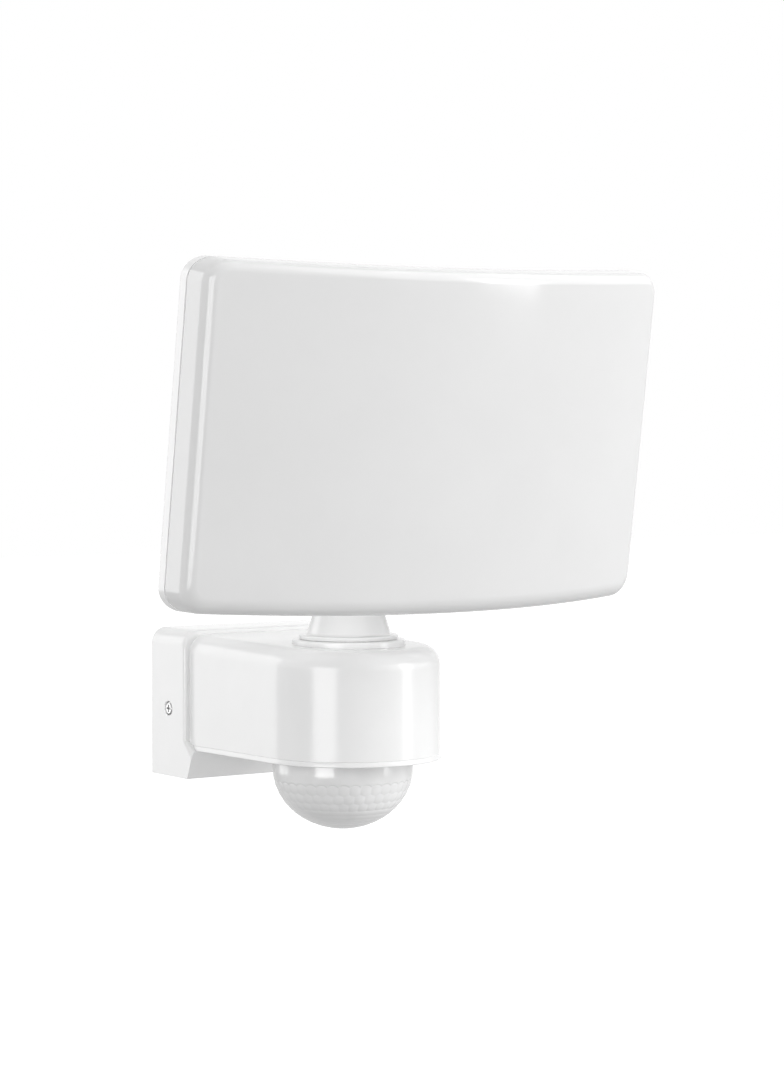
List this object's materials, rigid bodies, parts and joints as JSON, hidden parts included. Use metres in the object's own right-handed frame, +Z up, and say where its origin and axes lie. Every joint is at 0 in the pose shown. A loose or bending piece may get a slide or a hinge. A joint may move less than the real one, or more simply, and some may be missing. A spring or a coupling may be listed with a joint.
{
  "type": "motion sensor floodlight",
  "caption": "Wall floodlight: wide curved opal lamp panel on a tilting, swivelling neck over a round-ended arm with a faceted hemispherical motion sensor dome below.",
  "frame": {"origin": "centre of the wall screw pattern, on the wall plane", "axes": "+X to the light's left as it looks out, +Y into the wall, +Z up; the light faces -Y"},
  "size_m": [0.247, 0.2011, 0.2629],
  "materials": {
    "housing_white": "satin moulded",
    "rubber_grey": "soft, matt",
    "inner_white": "moulded",
    "brass": "plain",
    "steel": "zinc plated",
    "lens_white": "faceted, slightly translucent",
    "dark_plastic": "moulded",
    "board": "solder resist",
    "sensor_red": "glazed",
    "capacitor": "sleeved can",
    "coil": "taped core",
    "lead_brown": "insulated wire",
    "lead_blue": "insulated wire",
    "lead_green": "insulated wire",
    "lead_white": "insulated wire",
    "dial_grey": "moulded",
    "rubber_black": "soft, matt",
    "washer_grey": "acetal",
    "aluminium": "rolled sheet",
    "strip_white": "white solder resist",
    "led_yellow": "phosphor",
    "opal": "opal, semi-gloss",
    "driver_case": "potted case"
  },
  "bodies": {
    "wall_unit": {"wall_plate": "housing_white", "cable_grommet": "rubber_grey", "terminal_block": "inner_white", "terminal_screws": "brass", "side_screws": "steel", "arm_housing": "housing_white", "bottom_cover": "housing_white", "cover_screws": "steel", "collar_ring": "housing_white", "pir_lens": "lens_white", "lens_ring": "dark_plastic", "sensor_board": "board", "board_screws": "steel", "pir_sensor": "steel", "light_sensor": "sensor_red", "relay": "inner_white", "capacitors": "capacitor", "transformer": "coil", "potentiometers": "dark_plastic", "live_lead": "lead_brown", "neutral_lead": "lead_blue", "earth_lead": "lead_green", "lamp_lead": "lead_white"},
    "swivel": {"neck": "housing_white", "neck_seal": "rubber_black", "wave_washer": "steel", "neck_nut": "steel", "neck_lead": "lead_white", "pivot_bush": "steel", "tilt_screw": "steel", "friction_washers": "washer_grey"},
    "head": {"rear_housing": "housing_white", "heat_spreader": "aluminium", "spreader_screws": "steel", "led_strips": "strip_white", "leds": "led_yellow", "head_gasket": "rubber_grey", "diffuser": "opal", "head_screws": "steel", "led_driver": "driver_case", "head_lead": "lead_white"},
    "time_knob": {"time_dial": "dial_grey"},
    "light_knob": {"light_dial": "dial_grey"},
    "range_knob": {"range_dial": "dial_grey"}
  },
  "joints": [
    {"name": "head_swivel", "type": "hinge", "parent": "wall_unit", "child": "swivel", "pos_m": [0, -0.1, 0.034], "axis": [0, 0, 1], "range_deg": [-45, 45]},
    {"name": "head_tilt", "type": "hinge", "parent": "swivel", "child": "head", "pos_m": [0, -0.1, 0.078], "axis": [1, 0, 0], "range_deg": [-30, 20]},
    {"name": "time_adjust", "type": "hinge", "parent": "wall_unit", "child": "time_knob", "pos_m": [-0.014, -0.05, -0.02], "axis": [0, 0, 1], "range_deg": [-135, 135]},
    {"name": "light_adjust", "type": "hinge", "parent": "wall_unit", "child": "light_knob", "pos_m": [0, -0.05, -0.02], "axis": [0, 0, 1], "range_deg": [-135, 135]},
    {"name": "range_adjust", "type": "hinge", "parent": "wall_unit", "child": "range_knob", "pos_m": [0.014, -0.05, -0.02], "axis": [0, 0, 1], "range_deg": [-135, 135]}
  ]
}
